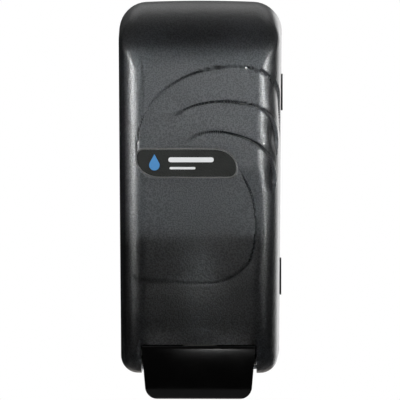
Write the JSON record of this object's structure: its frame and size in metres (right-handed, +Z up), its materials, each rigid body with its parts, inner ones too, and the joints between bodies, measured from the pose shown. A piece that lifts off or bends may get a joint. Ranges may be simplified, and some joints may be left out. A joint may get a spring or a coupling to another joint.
{
  "type": "wall mounted soap dispenser",
  "caption": "Upright push-bar soap dispenser for a wall: smoky translucent hinged cover with a swirl relief, black back plate, refillable tank and vertical piston pump.",
  "frame": {"origin": "on the wall, at the middle of the back plate's rear face, half way up the cover", "axes": "+Y into the wall, +Z up, +X to the right as seen from the front"},
  "size_m": [0.128, 0.102, 0.3056],
  "materials": {
    "smoke_cover": "translucent smoke grey, fine moulded grain, soft sheen",
    "black_plastic": "fine moulded texture",
    "gloss_black": "polished black",
    "natural_plastic": "natural translucent white",
    "grey_plastic": "satin",
    "seal_rubber": "matt",
    "steel": "drawn wire and turned steel",
    "badge": "satin label with a raised rim"
  },
  "bodies": {
    "chassis": {"back_plate": "black_plastic", "latch_guide": "black_plastic", "guide_screw_left": "steel", "guide_screw_right": "steel", "reservoir_cradle": "black_plastic", "cradle_screw_left": "steel", "cradle_screw_right": "steel", "reservoir": "natural_plastic", "pump_lock_ring": "grey_plastic", "pump_gasket": "seal_rubber", "pump_cylinder": "natural_plastic", "pump_end_cap": "natural_plastic", "inlet_valve": "seal_rubber", "pump_spring": "steel", "latch_spring": "steel", "hinge_pin_left": "steel", "hinge_pin_right": "steel"},
    "cover": {"front_cover": "smoke_cover", "badge_plate": "badge", "lever_pin_left": "steel", "lever_pin_right": "steel"},
    "push_bar": {"push_bar": "gloss_black", "lever_fork": "black_plastic", "fork_screw_left": "steel", "fork_screw_right": "steel"},
    "pump_piston": {"piston_stem": "natural_plastic", "piston_seal": "seal_rubber", "outlet_nozzle": "natural_plastic", "outlet_valve": "seal_rubber"},
    "latch": {"latch_slider": "black_plastic"},
    "fill_cap": {"fill_cap": "black_plastic", "cap_seal": "seal_rubber"}
  },
  "joints": [
    {"name": "cover_hinge", "type": "hinge", "parent": "chassis", "child": "cover", "pos_m": [0, -0.02, -0.128], "axis": [1, 0, 0], "range_deg": [0, 75]},
    {"name": "push_bar_hinge", "type": "hinge", "parent": "cover", "child": "push_bar", "pos_m": [0, -0.088, -0.133], "axis": [1, 0, 0], "range_deg": [0, 18], "stiffness_Nm_per_rad": 0.3, "springref_deg": -17.19},
    {"name": "piston_slide", "type": "slide", "parent": "chassis", "child": "pump_piston", "axis": [0, 0, 1], "range_m": [0, 0.011], "deforming": ["pump_spring"]},
    {"name": "latch_slide", "type": "slide", "parent": "chassis", "child": "latch", "axis": [0, 0, -1], "range_m": [0, 0.0045], "stiffness_N_per_m": 200, "springref_m": -0.003, "deforming": ["latch_spring"]},
    {"name": "fill_cap_twist", "type": "hinge", "parent": "chassis", "child": "fill_cap", "pos_m": [0, -0.052, 0.116], "axis": [0, 0, 1], "range_deg": [0, 90]}
  ],
  "couplings": [
    {"joint": "piston_slide", "follows": "push_bar_hinge", "m_per_rad": 0.0348}
  ]
}
